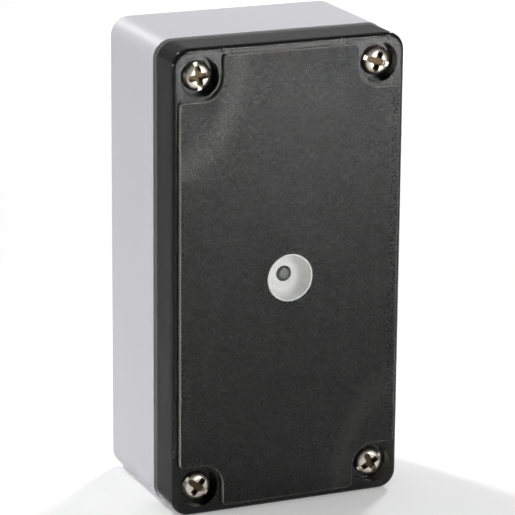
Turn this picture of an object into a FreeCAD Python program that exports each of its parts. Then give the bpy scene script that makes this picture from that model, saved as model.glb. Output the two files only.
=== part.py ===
import FreeCAD, Part
import math
import os
import Sketcher

# Wall-mount light and temperature sensor: an upright box with a deep screwed lid and a
# recessed light cup in its middle. Millimetres. X is the width, Y runs back to the wall and
# Z is up. The origin is under the middle of the box, which stands on its lower end.

SIZES = (
    ("box_width", 83.0, "outside width of the base"),
    ("box_height", 160.0, "outside height of the base"),
    ("box_depth", 58.0, "wall face to the front of the raised field"),
    ("corner_radius", 6.5, "outside radius of the box's upright corners"),
    ("back_radius", 1.2, "rounding of the base's edge at the wall"),
    ("floor_wall", 3.0, "thickness of the base's back wall"),
    ("seal_wall", 3.6, "thickness of the wall that carries the seal"),
    ("skin_wall", 2.5, "thickness of the outer wall beside a corner well"),
    ("lid_depth", 18.2, "joint to the front of the raised field"),
    ("lid_inset", 0.25, "step from the base's side in to the lid's side"),
    ("lid_edge_radius", 1.4, "rounding of the lid's front edge"),
    ("plate_wall", 3.0, "thickness of the lid's front"),
    ("field_rise", 1.8, "height of the field above the lid's border"),
    ("field_side", 2.15, "lid's side to the field's side"),
    ("field_end", 2.8, "lid's end to the field's end"),
    ("field_corner_radius", 1.2, "outer corners of the field"),
    ("field_edge_radius", 0.3, "rounding of the field's front edge"),
    ("notch_width", 17.8, "base's side to the upright edge of a notch"),
    ("notch_height", 17.9, "base's end to the level edge of a notch"),
    ("notch_radius", 7.5, "inner corner of a notch"),
    ("tall_well_width", 23.8, "base's side to the seal wall beside a tall corner well"),
    ("tall_well_height", 40.3, "base's end to the seal wall beyond a tall corner well"),
    ("tall_well_radius", 13.0, "bend of the seal wall round a tall well"),
    ("short_well_width", 20.3, "base's side to the seal wall beside a short corner well"),
    ("short_well_height", 20.8, "base's end to the seal wall beyond a short corner well"),
    ("short_well_radius", 8.0, "bend of the seal wall round a short well"),
    ("cavity_radius", 3.0, "outer corners of the main cavity"),
    ("well_radius", 2.5, "corners of a corner well"),
    ("groove_width", 1.4, "width of the seal's groove"),
    ("groove_depth", 2.0, "depth of the seal's groove"),
    ("tongue_width", 1.0, "thickness of the lid's tongue"),
    ("tongue_height", 0.8, "reach of the lid's tongue into the groove"),
    ("seal_gap", 0.05, "room beside the seal in its groove"),
    ("screw_side", 9.7, "base's side to a lid screw's middle"),
    ("screw_end", 9.9, "base's end to a lid screw's middle"),
    ("counterbore_diameter", 13.6, "well that the screw's head sits in"),
    ("counterbore_depth", 3.6, "border to the seat of the screw's head"),
    ("counterbore_wall", 2.2, "plastic round and under a counterbore"),
    ("column_diameter", 10.4, "screw columns in the base"),
    ("lid_column_diameter", 9.0, "screw columns in the lid"),
    ("thread_diameter", 5.0, "lid screw"),
    ("thread_room", 0.3, "room round the lid screw in the lid"),
    ("thread_fit", 0.05, "room round a screw in its insert or pilot hole"),
    ("head_diameter", 10.0, "pan head of the lid screw"),
    ("head_height", 3.0, "pan head of the lid screw"),
    ("head_radius", 2.6, "rounding of the pan head"),
    ("slot_width", 1.5, "slot across the head"),
    ("slot_depth", 1.5, "slot across the head"),
    ("cross_length", 7.2, "cross recess, end to end"),
    ("cross_width", 2.1, "arm of the cross recess"),
    ("cross_depth", 2.0, "arm of the cross recess"),
    ("cross_round", 0.9, "ends of the cross recess"),
    ("cross_bend", 0.4, "inner corners of the cross recess"),
    ("tip_chamfer", 1.25, "end of the lid screw"),
    ("insert_diameter", 7.0, "brass thread insert"),
    ("insert_length", 10.0, "brass thread insert"),
    ("insert_flange", 8.6, "rim of the thread insert"),
    ("insert_flange_thickness", 1.0, "rim of the thread insert"),
    ("insert_groove", 0.5, "depth of the insert's waist"),
    ("insert_waist", 2.0, "length of the insert's waist"),
    ("insert_slope", 1.0, "slope at each end of the waist"),
    ("screw_spare", 1.5, "insert's length below the screw's tip"),
    ("fixing_side", 10.5, "base's side to a wall fixing hole's middle"),
    ("fixing_end", 28.0, "base's end to a wall fixing hole's middle"),
    ("fixing_diameter", 4.8, "hole for the wall screw"),
    ("fixing_boss_diameter", 10.0, "raised seat round the fixing hole"),
    ("fixing_boss_height", 1.5, "raised seat round the fixing hole"),
    ("cup_diameter", 16.2, "outside of the light cup at the front"),
    ("cup_room", 0.1, "room round the light cup in the lid"),
    ("cup_rim", 0.5, "wall of the light cup"),
    ("cup_recess", 5.5, "field to the cup's floor"),
    ("cup_floor", 1.1, "thickness of the cup's floor"),
    ("cup_floor_radius", 2.9, "bend from the cup's wall to its floor"),
    ("cup_shoulder_diameter", 19.6, "shoulder behind the lid"),
    ("cup_seal_thickness", 1.0, "flat ring before the shoulder"),
    ("cup_seal_diameter", 21.0, "flat ring before the shoulder"),
    ("diode_diameter", 5.2, "light sensor"),
    ("diode_room", 0.1, "room round the light sensor"),
    ("diode_proud", 0.4, "dome above the cup's floor"),
    ("diode_dome", 1.2, "rounding of the light sensor's front"),
    ("diode_flange_diameter", 5.9, "rim at the light sensor's back"),
    ("diode_flange_thickness", 1.0, "rim at the light sensor's back"),
    ("lead_diameter", 0.6, "leads of the light sensor"),
    ("lead_spacing", 2.54, "leads of the light sensor"),
    ("lead_proud", 1.0, "leads beyond the sensor board"),
    ("lead_room", 0.1, "room round a lead in the board"),
    ("carrier_width", 42.0, "bridge behind the cup"),
    ("carrier_height", 14.0, "bridge behind the cup"),
    ("carrier_thickness", 3.2, "bridge behind the cup"),
    ("carrier_radius", 4.0, "corners of the bridge"),
    ("carrier_screw_half_width", 16.0, "middle to a bridge screw"),
    ("carrier_boss_diameter", 6.0, "lid's boss for a bridge screw"),
    ("small_thread", 2.5, "bridge screw"),
    ("small_head_diameter", 4.6, "bridge screw"),
    ("small_head_height", 1.7, "bridge screw"),
    ("small_screw_length", 8.4, "bridge screw under its head"),
    ("small_pilot_spare", 0.6, "pilot hole below the screw's tip"),
    ("clear_room", 0.1, "room round a small screw in what it passes"),
    ("board_thickness", 1.6, "both circuit boards"),
    ("sensor_board_width", 44.0, "small board"),
    ("sensor_board_height", 24.0, "small board"),
    ("board_corner", 1.0, "corners of both boards"),
    ("board_side_room", 2.9, "seal wall to the main board's side"),
    ("board_end_room", 2.7, "a tall well's seal wall to the level of the main board's end"),
    ("board_stand", 24.0, "height of the bosses under the main board"),
    ("board_screw_side", 4.0, "main board's side to a board screw's middle"),
    ("board_screw_end", 4.0, "main board's end to a board screw's middle"),
    ("board_boss_diameter", 6.4, "boss under the main board"),
    ("board_boss_foot", 1.2, "rounding at a boss's foot"),
    ("board_thread", 3.0, "board screw"),
    ("board_screw_length", 8.0, "board screw under its head"),
    ("board_pilot_depth", 9.0, "pilot hole in a boss"),
    ("board_head_diameter", 5.6, "board screw"),
    ("board_head_height", 2.2, "board screw"),
    ("contact_count", 6.0, "contacts between the boards"),
    ("contact_pitch", 2.54, "contacts between the boards"),
    ("contact_strip", 2.5, "width and height of the pin strip"),
    ("contact_drop", 8.5, "middle of the box down to the contacts"),
    ("pin_side", 0.64, "square contact pin"),
    ("pin_engagement", 5.0, "reach of a pin into the socket"),
    ("pin_room", 0.1, "room round a pin in the socket"),
    ("socket_height", 8.5, "socket on the main board"),
    ("terminal_count", 4.0, "poles of the terminal block"),
    ("terminal_pitch", 5.08, "poles of the terminal block"),
    ("terminal_height", 9.0, "terminal block along the board"),
    ("terminal_depth", 11.0, "terminal block out from the board"),
    ("terminal_foot", 1.5, "main board's lower end to the terminal block"),
    ("terminal_entry", 3.4, "square entry for a wire"),
    ("terminal_entry_depth", 5.5, "square entry for a wire"),
    ("terminal_entry_lift", 1.2, "board to the wire entries"),
    ("terminal_screw_diameter", 3.6, "clamp screw"),
    ("terminal_screw_room", 0.1, "room round a clamp screw"),
    ("terminal_screw_sunk", 0.8, "clamp screw below the block's front"),
    ("terminal_screw_length", 3.2, "clamp screw"),
    ("terminal_slot_width", 0.8, "slot of a clamp screw"),
    ("terminal_slot_depth", 0.9, "slot of a clamp screw"),
    ("terminal_chamfer", 1.2, "front edges of the terminal block"),
    ("chip_width", 7.5, "controller chip's body"),
    ("chip_height", 10.3, "controller chip's body"),
    ("chip_thickness", 2.2, "controller chip's body"),
    ("chip_lift", 0.2, "board to the chip's body"),
    ("chip_chamfer", 0.5, "bevel along the chip's face"),
    ("chip_lead_pitch", 1.27, "leads along one side"),
    ("chip_lead_count", 8.0, "leads along one side"),
    ("chip_lead_width", 0.42, "one lead"),
    ("chip_lead_reach", 1.4, "lead beyond the body"),
    ("chip_lead_thickness", 0.3, "foot of a lead"),
    ("chip_side", 17.0, "main board's right side to the chip's middle"),
    ("chip_rise", 12.0, "middle of the box up to the chip"),
    ("capacitor_diameter", 8.0, "electrolytic can"),
    ("capacitor_height", 9.0, "electrolytic can"),
    ("capacitor_neck", 0.4, "depth of the crimped ring"),
    ("capacitor_neck_lift", 2.0, "board to the middle of the crimped ring"),
    ("capacitor_neck_height", 1.2, "crimped ring along the can"),
    ("capacitor_edge", 0.7, "rounding of the can's end"),
    ("capacitor_spacing", 10.5, "middle of one can to the next"),
    ("capacitor_side", 16.0, "main board's left side to the first can's middle"),
    ("capacitor_rise", 10.0, "middle of the box up to the cans"),
    ("choke_diameter", 12.0, "drum of the choke"),
    ("choke_height", 8.0, "drum of the choke"),
    ("choke_flange", 1.4, "ends of the drum"),
    ("choke_waist", 1.3, "depth of the winding's space"),
    ("choke_side", 14.0, "main board's right side to the choke's middle"),
    ("choke_drop", 13.0, "middle of the box down to the choke"),
    ("bead_diameter", 2.6, "temperature bead"),
    ("bead_length", 3.4, "temperature bead"),
    ("bead_round", 1.2, "ends of the temperature bead"),
    ("bead_lift", 7.0, "board to the bead"),
    ("bead_lead_diameter", 0.5, "leads of the bead"),
    ("bead_lead_spacing", 1.3, "leads of the bead"),
    ("bead_side", 13.0, "main board's right side to the bead"),
    ("bead_foot", 3.0, "main board's lower end to the bead"),
    ("entry_lift", 24.5, "wall face to the cable entry's middle"),
    ("entry_diameter", 16.2, "cable entry in the lower wall"),
    ("entry_recess_diameter", 20.4, "recess for the grommet's flange"),
    ("entry_recess_depth", 1.2, "recess for the grommet's flange"),
    ("grommet_fit", 0.1, "room round the grommet"),
    ("grommet_sunk", 0.2, "grommet's flange above the lower face"),
    ("grommet_lip", 1.4, "grommet's lip beyond the hole"),
    ("grommet_lip_height", 1.4, "grommet's lip inside the box"),
    ("grommet_bore", 12.4, "inside of the grommet's sleeve"),
    ("grommet_mouth", 2.6, "underside to the top of the membrane"),
    ("membrane_thickness", 1.2, "membrane round the cable hole"),
    ("cable_hole", 6.0, "hole for the cable"),
)

# Slot angle of each lid screw seen from the front, counted from upright, clockwise.
SCREWS = (
    ("lid_screw_1", -1, 1, -10.0),
    ("lid_screw_2", 1, 1, -71.0),
    ("lid_screw_3", -1, -1, -52.0),
    ("lid_screw_4", 1, -1, 62.0),
)

FULL_TURN = 360.0
NEAR = 0.001

# A small screw's cross recess and tip, as shares of its head's width and height and its thread.
RECESS_REACH = 0.5
RECESS_ARM = 0.17
RECESS_DEPTH = 0.5
TIP_LENGTH = 0.5
TIP_RADIUS = 0.125

doc = FreeCAD.newDocument("light_sensor")
sheet = doc.addObject("Spreadsheet::Sheet", "Sizes")
for row, (alias, size, note) in enumerate(SIZES, start=1):
    sheet.set(f"A{row}", alias)
    sheet.set(f"B{row}", str(size))
    sheet.set(f"C{row}", note)
    sheet.setAlias(f"B{row}", alias)
doc.recompute()

ALIASES = {alias for alias, _, _ in SIZES}


def bound(words):
    """An expression on the sheet, from one that names the sizes alone."""
    tokens = words.replace("(", " ( ").replace(")", " ) ").split()
    return " ".join(f"Sizes.{token}" if token in ALIASES else token for token in tokens)


def value(words):
    """The present value of such an expression."""
    return float(sheet.evalExpression(bound(words)))


def new_body(label, x="0", y="0", z="0", turn=None):
    """An empty body whose own origin lies at x, y, z."""
    body = doc.addObject("PartDesign::Body", label)
    body.Label = label
    if turn is not None:
        body.Placement = FreeCAD.Placement(FreeCAD.Vector(), turn)
    for axis, place in (("x", x), ("y", y), ("z", z)):
        body.setExpression(f"Placement.Base.{axis}", bound(place))
    return body


def new_sketch(body, name, plane="XZ_Plane", lift="0"):
    """A sketch on one of the body's own planes, lifted along the plane's normal.

    XZ_Plane faces the front, so its lift is a distance forward.
    """
    sketch = body.newObject("Sketcher::SketchObject", name)
    support = next(item for item in body.Origin.OriginFeatures if item.Role == plane)
    sketch.AttachmentSupport = [(support, "")]
    sketch.MapMode = "FlatFace"
    sketch.setExpression("AttachmentOffset.Base.z", bound(lift))
    return sketch


def bind(sketch, constraint, words):
    """Add a constraint whose size follows the sheet."""
    index = sketch.addConstraint(constraint)
    sketch.setExpression(f"Constraints[{index}]", bound(words))


def place_point(sketch, item, end, x, y):
    """Hold one end of a line, or a centre, at x, y from the sketch's origin."""
    if x == "0":
        sketch.addConstraint(Sketcher.Constraint("PointOnObject", item, end, -2))
    else:
        bind(sketch, Sketcher.Constraint("DistanceX", -1, 1, item, end, value(x)), x)
    if y == "0":
        sketch.addConstraint(Sketcher.Constraint("PointOnObject", item, end, -1))
    else:
        bind(sketch, Sketcher.Constraint("DistanceY", -1, 1, item, end, value(y)), y)


def draw_circle(sketch, x, y, diameter):
    centre = FreeCAD.Vector(value(x), value(y), 0)
    normal = FreeCAD.Vector(0, 0, 1)
    item = sketch.addGeometry(Part.Circle(centre, normal, value(diameter) / 2), False)
    place_point(sketch, item, 3, x, y)
    bind(sketch, Sketcher.Constraint("Diameter", item, value(diameter)), diameter)


def draw_outline(sketch, corners):
    """A closed outline of level and upright lines with a round bend at every corner.

    corners holds x, y and radius, anticlockwise, the first line leaving the first corner.
    """
    spots = [tuple(value(words) for words in corner) for corner in corners]
    count = len(spots)

    def heading(a, b):
        step = FreeCAD.Vector(b[0] - a[0], b[1] - a[1], 0)
        return step.normalize()

    bends = []
    for index, spot in enumerate(spots):
        arrive = heading(spots[index - 1], spot)
        leave = heading(spot, spots[(index + 1) % count])
        corner = FreeCAD.Vector(spot[0], spot[1], 0)
        first = corner - arrive * spot[2]
        last = corner + leave * spot[2]
        centre = first + leave * spot[2]
        left_turn = arrive.cross(leave).z > 0
        bends.append((first, last, centre, spot[2], left_turn))

    lines = []
    arcs = []
    for index, (first, last, centre, radius, left_turn) in enumerate(bends):
        following = bends[(index + 1) % count][0]
        lines.append(sketch.addGeometry(Part.LineSegment(last, following), False))
        start, stop = (first, last) if left_turn else (last, first)
        angles = [math.atan2(p.y - centre.y, p.x - centre.x) for p in (start, stop)]
        ring = Part.Circle(centre, FreeCAD.Vector(0, 0, 1), radius)
        arcs.append(sketch.addGeometry(Part.ArcOfCircle(ring, *angles), False))

    for index, (x, y, radius) in enumerate(corners):
        line = lines[index]
        arc = arcs[index]
        begin, end = (1, 2) if bends[index][4] else (2, 1)
        sketch.addConstraint(Sketcher.Constraint("Tangent", lines[index - 1], 2, arc, begin))
        sketch.addConstraint(Sketcher.Constraint("Tangent", arc, end, line, 1))
        bind(sketch, Sketcher.Constraint("Radius", arc, value(radius)), radius)
        upright = corners[(index + 1) % count][0] == x
        sketch.addConstraint(Sketcher.Constraint("Vertical" if upright else "Horizontal", line))
        if upright:
            bind(sketch, Sketcher.Constraint("DistanceX", -1, 1, line, 1, value(x)), x)
        else:
            bind(sketch, Sketcher.Constraint("DistanceY", -1, 1, line, 1, value(y)), y)


def draw_rectangle(sketch, left, right, low, high, radius):
    """A rectangle with round corners. radius is one size, or four anticlockwise from low right."""
    radii = (radius,) * 4 if isinstance(radius, str) else radius
    places = ((right, low), (right, high), (left, high), (left, low))
    draw_outline(sketch, [(x, y, r) for (x, y), r in zip(places, radii)])


def draw_centred(sketch, width, height, radius):
    """A rectangle with round corners about the sketch's origin."""
    edges = (f"- ( {width} ) / 2", f"( {width} ) / 2", f"- ( {height} ) / 2", f"( {height} ) / 2")
    draw_rectangle(sketch, *edges, radius)


def draw_profile(sketch, points):
    """A closed outline of straight lines through points."""
    spots = [FreeCAD.Vector(value(x), value(y), 0) for x, y in points]
    count = len(points)
    items = []
    for index in range(count):
        line = Part.LineSegment(spots[index], spots[(index + 1) % count])
        items.append(sketch.addGeometry(line, False))
    for index, (x, y) in enumerate(points):
        joint = Sketcher.Constraint("Coincident", items[index - 1], 2, items[index], 1)
        sketch.addConstraint(joint)
        place_point(sketch, items[index], 1, x, y)


def add(body, kind, sketch, length, reverse=False):
    """A pad or pocket of the sketch. A pad grows forward and a pocket cuts back, or in reverse."""
    feature = body.newObject(f"PartDesign::{kind}", f"{sketch.Name}_{kind.lower()}")
    feature.Profile = sketch
    feature.setExpression("Length", bound(length))
    feature.Reversed = reverse
    sketch.Visibility = False
    body.Tip = feature
    doc.recompute()
    return feature


def pad(body, sketch, length, reverse=False):
    return add(body, "Pad", sketch, length, reverse)


def pocket(body, sketch, length, reverse=False):
    """Cut, and make sure that the cut took something away."""
    before = body.Shape.Volume
    feature = add(body, "Pocket", sketch, length, reverse)
    if body.Shape.Volume >= before:
        raise ValueError(f"{feature.Name} cuts nothing")
    return feature


def revolve(body, sketch, axis):
    """A full turn of the sketch about its level or upright axis."""
    feature = body.newObject("PartDesign::Revolution", f"{sketch.Name}_turned")
    feature.Profile = sketch
    feature.ReferenceAxis = (sketch, [axis])
    feature.Angle = FULL_TURN
    body.Tip = feature
    doc.recompute()
    return feature


def soften(body, kind, name, test, size):
    """A fillet or chamfer of every edge of the body's present solid that passes the test."""
    base = body.Tip
    edges = [f"Edge{n}" for n, edge in enumerate(base.Shape.Edges, start=1) if test(edge)]
    if not edges:
        raise ValueError(f"{name} finds no edge")
    feature = body.newObject(f"PartDesign::{kind}", name)
    feature.Base = (base, edges)
    feature.setExpression("Radius" if kind == "Fillet" else "Size", bound(size))
    body.Tip = feature
    doc.recompute()


def level_with(edge, depth):
    """Whether the whole edge lies at one depth along the body's own Y."""
    return abs(edge.BoundBox.YMin - depth) < NEAR and abs(edge.BoundBox.YMax - depth) < NEAR


def radius_of(edge):
    curve = edge.Curve
    return curve.Radius if isinstance(curve, Part.Circle) else None


def ring_at(edge, depth, diameter):
    """Whether the edge is a circle of this diameter at this depth along the body's own Y."""
    radius = radius_of(edge)
    return radius is not None and level_with(edge, depth) and abs(radius - diameter / 2) < NEAR


MIDDLE = "box_height / 2"
BASE_DEPTH = "( box_depth - lid_depth )"
FRONT = "- box_depth / 2"
JOINT = "lid_depth - box_depth / 2"
LEDGE = "( lid_depth - field_rise )"
CUP_DEPTH = "( cup_recess + cup_floor )"
BOARD_FRONT = "box_depth / 2 - floor_wall - board_stand - board_thickness"
SENSOR_BOARD_BACK = f"{FRONT} + {CUP_DEPTH} + carrier_thickness + board_thickness"
CONTACTS_LEVEL = f"{MIDDLE} - contact_drop"
STRIP_LENGTH = "contact_count * contact_pitch"

# Places that keep their distance from the box's sides and ends, counted from its middle.
SCREW_X = "( box_width / 2 - screw_side )"
SCREW_Z = "( box_height / 2 - screw_end )"
FIXING_X = "( box_width / 2 - fixing_side )"
FIXING_Z = "( box_height / 2 - fixing_end )"
NOTCH_X = "( box_width / 2 - notch_width )"
NOTCH_Z = "( box_height / 2 - notch_height )"
TALL_X = "( box_width / 2 - tall_well_width )"
TALL_Z = "( box_height / 2 - tall_well_height )"
SHORT_X = "( box_width / 2 - short_well_width )"
SHORT_Z = "( box_height / 2 - short_well_height )"
BOARD_X = "( box_width / 2 - seal_wall - board_side_room )"
BOARD_Z = f"( {TALL_Z} - board_end_room )"
BOARD_SCREW_X = f"( {BOARD_X} - board_screw_side )"
BOARD_SCREW_Z = f"( {BOARD_Z} - board_screw_end )"
BOARD_FOOT = f"{MIDDLE} - {BOARD_Z}"


# The seal wall runs along the box's sides and steps in round the four corner wells. The
# upper left and lower right wells are tall, because they hold a wall fixing hole as well.
def draw_seal_outline(sketch, grow):
    """The main cavity's outline, grown outwards everywhere by one distance."""
    side = f"( box_width / 2 - seal_wall + {grow} )"
    end = f"( box_height / 2 - seal_wall + {grow} )"
    tall = (f"( {TALL_X} + {grow} )", f"( {TALL_Z} + {grow} )", f"tall_well_radius - {grow}")
    short = (f"( {SHORT_X} + {grow} )", f"( {SHORT_Z} + {grow} )", f"short_well_radius - {grow}")
    draw_stepped(sketch, side, end, tall, short, f"cavity_radius + {grow}")


def draw_stepped(sketch, side, end, tall, short, bend):
    """A rectangle with a notch in each corner: tall at upper left and lower right, else short."""
    tall_x, tall_z, tall_bend = tall
    short_x, short_z, short_bend = short
    corners = [
        (side, f"- {tall_z}", bend),
        (side, short_z, bend),
        (short_x, short_z, short_bend),
        (short_x, end, bend),
        (f"- {tall_x}", end, bend),
        (f"- {tall_x}", tall_z, tall_bend),
        (f"- {side}", tall_z, bend),
        (f"- {side}", f"- {short_z}", bend),
        (f"- {short_x}", f"- {short_z}", short_bend),
        (f"- {short_x}", f"- {end}", bend),
        (tall_x, f"- {end}", bend),
        (tall_x, f"- {tall_z}", tall_bend),
    ]
    draw_outline(sketch, corners)


def draw_wells(sketch, inset, column):
    """The four corner wells, each round its screw column. inset is the lid's step, or zero."""
    outer_x = f"( box_width / 2 - {inset} - skin_wall )"
    outer_z = f"( box_height / 2 - {inset} - skin_wall )"
    outer_bend = "corner_radius - skin_wall"
    for side_x, side_z in ((-1, 1), (1, 1), (-1, -1), (1, -1)):
        tall = side_x * side_z < 0
        inner_x = f"( {TALL_X if tall else SHORT_X} + seal_wall )"
        inner_z = f"( {TALL_Z if tall else SHORT_Z} + seal_wall )"
        inner_bend = "tall_well_radius - seal_wall" if tall else "short_well_radius - seal_wall"
        left, right = (f"- {outer_x}", f"- {inner_x}") if side_x < 0 else (inner_x, outer_x)
        low, high = (f"- {outer_z}", f"- {inner_z}") if side_z < 0 else (inner_z, outer_z)
        bends = {(-1, 1): 2, (1, 1): 1, (-1, -1): 3, (1, -1): 0}
        radii = ["well_radius"] * 4
        radii[bends[(side_x, side_z)]] = outer_bend
        radii[bends[(-side_x, -side_z)]] = inner_bend
        draw_rectangle(sketch, left, right, low, high, tuple(radii))
    draw_at_screws(sketch, column)


def signed(sign, words):
    return words if sign > 0 else f"- {words}"


def draw_at_screws(sketch, diameter):
    """One circle on each lid screw's axis."""
    for _, side_x, side_z, _ in SCREWS:
        draw_circle(sketch, signed(side_x, SCREW_X), signed(side_z, SCREW_Z), diameter)


def draw_at_board_screws(sketch, diameter):
    """One circle on each board screw's axis."""
    for side_x in (-1, 1):
        for side_z in (-1, 1):
            x = signed(side_x, BOARD_SCREW_X)
            z = signed(side_z, BOARD_SCREW_Z)
            draw_circle(sketch, x, z, diameter)


def draw_at_fixings(sketch, diameter):
    """One circle on each wall fixing hole's axis, in the tall wells."""
    draw_circle(sketch, f"- {FIXING_X}", FIXING_Z, diameter)
    draw_circle(sketch, FIXING_X, f"- {FIXING_Z}", diameter)


def make_base():
    """The wall box: back wall, sides, seal wall, corner wells, screw columns and bosses."""
    body = new_body("base_housing", y="box_depth / 2", z=MIDDLE)
    shell = new_sketch(body, "base_shell")
    draw_centred(shell, "box_width", "box_height", "corner_radius")
    pad(body, shell, BASE_DEPTH)
    soften(body, "Fillet", "base_back_edge", lambda edge: level_with(edge, 0), "back_radius")

    cavity = new_sketch(body, "base_cavity", lift=BASE_DEPTH)
    draw_seal_outline(cavity, "0")
    pocket(body, cavity, f"{BASE_DEPTH} - floor_wall")
    wells = new_sketch(body, "base_wells", lift=BASE_DEPTH)
    draw_wells(wells, "0", "column_diameter")
    pocket(body, wells, f"{BASE_DEPTH} - floor_wall")

    groove = new_sketch(body, "base_groove", lift=BASE_DEPTH)
    draw_seal_outline(groove, "( seal_wall + groove_width ) / 2")
    draw_seal_outline(groove, "( seal_wall - groove_width ) / 2")
    pocket(body, groove, "groove_depth")

    seats = new_sketch(body, "base_insert_rims", lift=BASE_DEPTH)
    draw_at_screws(seats, "insert_flange + 2 * thread_fit")
    pocket(body, seats, "insert_flange_thickness")
    bores = new_sketch(body, "base_insert_bores", lift=BASE_DEPTH)
    draw_at_screws(bores, "insert_diameter + 2 * thread_fit")
    pocket(body, bores, "insert_length + screw_spare")

    seat = new_sketch(body, "base_fixing_seats", lift="floor_wall")
    draw_at_fixings(seat, "fixing_boss_diameter")
    pad(body, seat, "fixing_boss_height")
    fixing = new_sketch(body, "base_fixing_holes", lift="floor_wall + fixing_boss_height")
    draw_at_fixings(fixing, "fixing_diameter")
    pocket(body, fixing, "floor_wall + fixing_boss_height")

    bosses = new_sketch(body, "base_board_bosses", lift="floor_wall")
    draw_at_board_screws(bosses, "board_boss_diameter")
    pad(body, bosses, "board_stand")
    foot = -value("floor_wall")
    foot_size = value("board_boss_diameter")
    soften(body, "Fillet", "base_boss_feet", lambda e: ring_at(e, foot, foot_size), "board_boss_foot")
    pilots = new_sketch(body, "base_board_pilots", lift="floor_wall + board_stand")
    draw_at_board_screws(pilots, "board_thread + 2 * thread_fit")
    pocket(body, pilots, "board_pilot_depth")

    entry = new_sketch(body, "base_entry", "XY_Plane", f"- {MIDDLE}")
    draw_circle(entry, "0", "- entry_lift", "entry_diameter")
    pocket(body, entry, "seal_wall", reverse=True)
    recess = new_sketch(body, "base_entry_recess", "XY_Plane", f"- {MIDDLE}")
    draw_circle(recess, "0", "- entry_lift", "entry_recess_diameter")
    pocket(body, recess, "entry_recess_depth", reverse=True)


def make_lid():
    """The clear cover: front plate with its raised field, skirt, seal wall and counterbores."""
    body = new_body("lid", y=JOINT, z=MIDDLE)
    shell = new_sketch(body, "lid_shell")
    width = "box_width - 2 * lid_inset"
    height = "box_height - 2 * lid_inset"
    draw_centred(shell, width, height, "corner_radius - lid_inset")
    pad(body, shell, LEDGE)
    border = -value(LEDGE)
    soften(body, "Fillet", "lid_front_edge", lambda edge: level_with(edge, border), "lid_edge_radius")

    field = new_sketch(body, "lid_field", lift=LEDGE)
    side = "( box_width / 2 - lid_inset - field_side )"
    end = "( box_height / 2 - lid_inset - field_end )"
    notch = (NOTCH_X, NOTCH_Z, "notch_radius")
    draw_stepped(field, side, end, notch, notch, "field_corner_radius")
    pad(body, field, "field_rise")
    front = -value("lid_depth")
    soften(body, "Fillet", "lid_field_edge", lambda edge: level_with(edge, front), "field_edge_radius")

    cavity = new_sketch(body, "lid_cavity")
    draw_seal_outline(cavity, "0")
    pocket(body, cavity, f"{LEDGE} - plate_wall", reverse=True)
    recess = new_sketch(body, "lid_field_recess", lift=f"{LEDGE} - plate_wall")
    side = "( box_width / 2 - lid_inset - field_side - plate_wall )"
    end = "( box_height / 2 - lid_inset - field_end - plate_wall )"
    tall = (TALL_X, TALL_Z, "tall_well_radius")
    short = (f"( {NOTCH_X} - plate_wall )", f"( {NOTCH_Z} - plate_wall )", "short_well_radius")
    draw_stepped(recess, side, end, tall, short, "cavity_radius")
    pocket(body, recess, "field_rise", reverse=True)

    wells = new_sketch(body, "lid_wells")
    draw_wells(wells, "lid_inset", "lid_column_diameter")
    pocket(body, wells, f"{LEDGE} - plate_wall", reverse=True)
    seats = new_sketch(body, "lid_seats", lift=f"{LEDGE} - counterbore_depth - counterbore_wall")
    draw_at_screws(seats, "counterbore_diameter + 2 * counterbore_wall")
    pad(body, seats, "counterbore_depth + counterbore_wall - plate_wall")
    sinks = new_sketch(body, "lid_counterbores", lift=LEDGE)
    draw_at_screws(sinks, "counterbore_diameter")
    pocket(body, sinks, "counterbore_depth")
    passes = new_sketch(body, "lid_screw_holes", lift=LEDGE)
    draw_at_screws(passes, "thread_diameter + 2 * thread_room")
    pocket(body, passes, LEDGE)

    tongue = new_sketch(body, "lid_tongue")
    draw_seal_outline(tongue, "( seal_wall + tongue_width ) / 2")
    draw_seal_outline(tongue, "( seal_wall - tongue_width ) / 2")
    pad(body, tongue, "tongue_height", reverse=True)

    bosses = new_sketch(body, "lid_carrier_bosses", lift=f"lid_depth - {CUP_DEPTH}")
    for sign in (-1, 1):
        draw_circle(bosses, signed(sign, "carrier_screw_half_width"), "0", "carrier_boss_diameter")
    pad(body, bosses, f"{CUP_DEPTH} - plate_wall")
    pilots = new_sketch(body, "lid_carrier_pilots", lift=f"lid_depth - {CUP_DEPTH}")
    for sign in (-1, 1):
        x = signed(sign, "carrier_screw_half_width")
        draw_circle(pilots, x, "0", "small_thread + 2 * thread_fit")
    reach = "small_screw_length - carrier_thickness - board_thickness + small_pilot_spare"
    pocket(body, pilots, reach, reverse=True)

    window = new_sketch(body, "lid_cup_hole", lift="lid_depth")
    draw_circle(window, "0", "0", "cup_diameter + 2 * cup_room")
    pocket(body, window, "plate_wall")


def make_gasket():
    """The sealing cord that lies in the base's groove under the lid's tongue."""
    body = new_body("lid_gasket", y=f"{JOINT} + groove_depth", z=MIDDLE)
    ring = new_sketch(body, "gasket_ring")
    draw_seal_outline(ring, "( seal_wall + groove_width ) / 2 - seal_gap")
    draw_seal_outline(ring, "( seal_wall - groove_width ) / 2 + seal_gap")
    pad(body, ring, "groove_depth - tongue_height")


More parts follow.
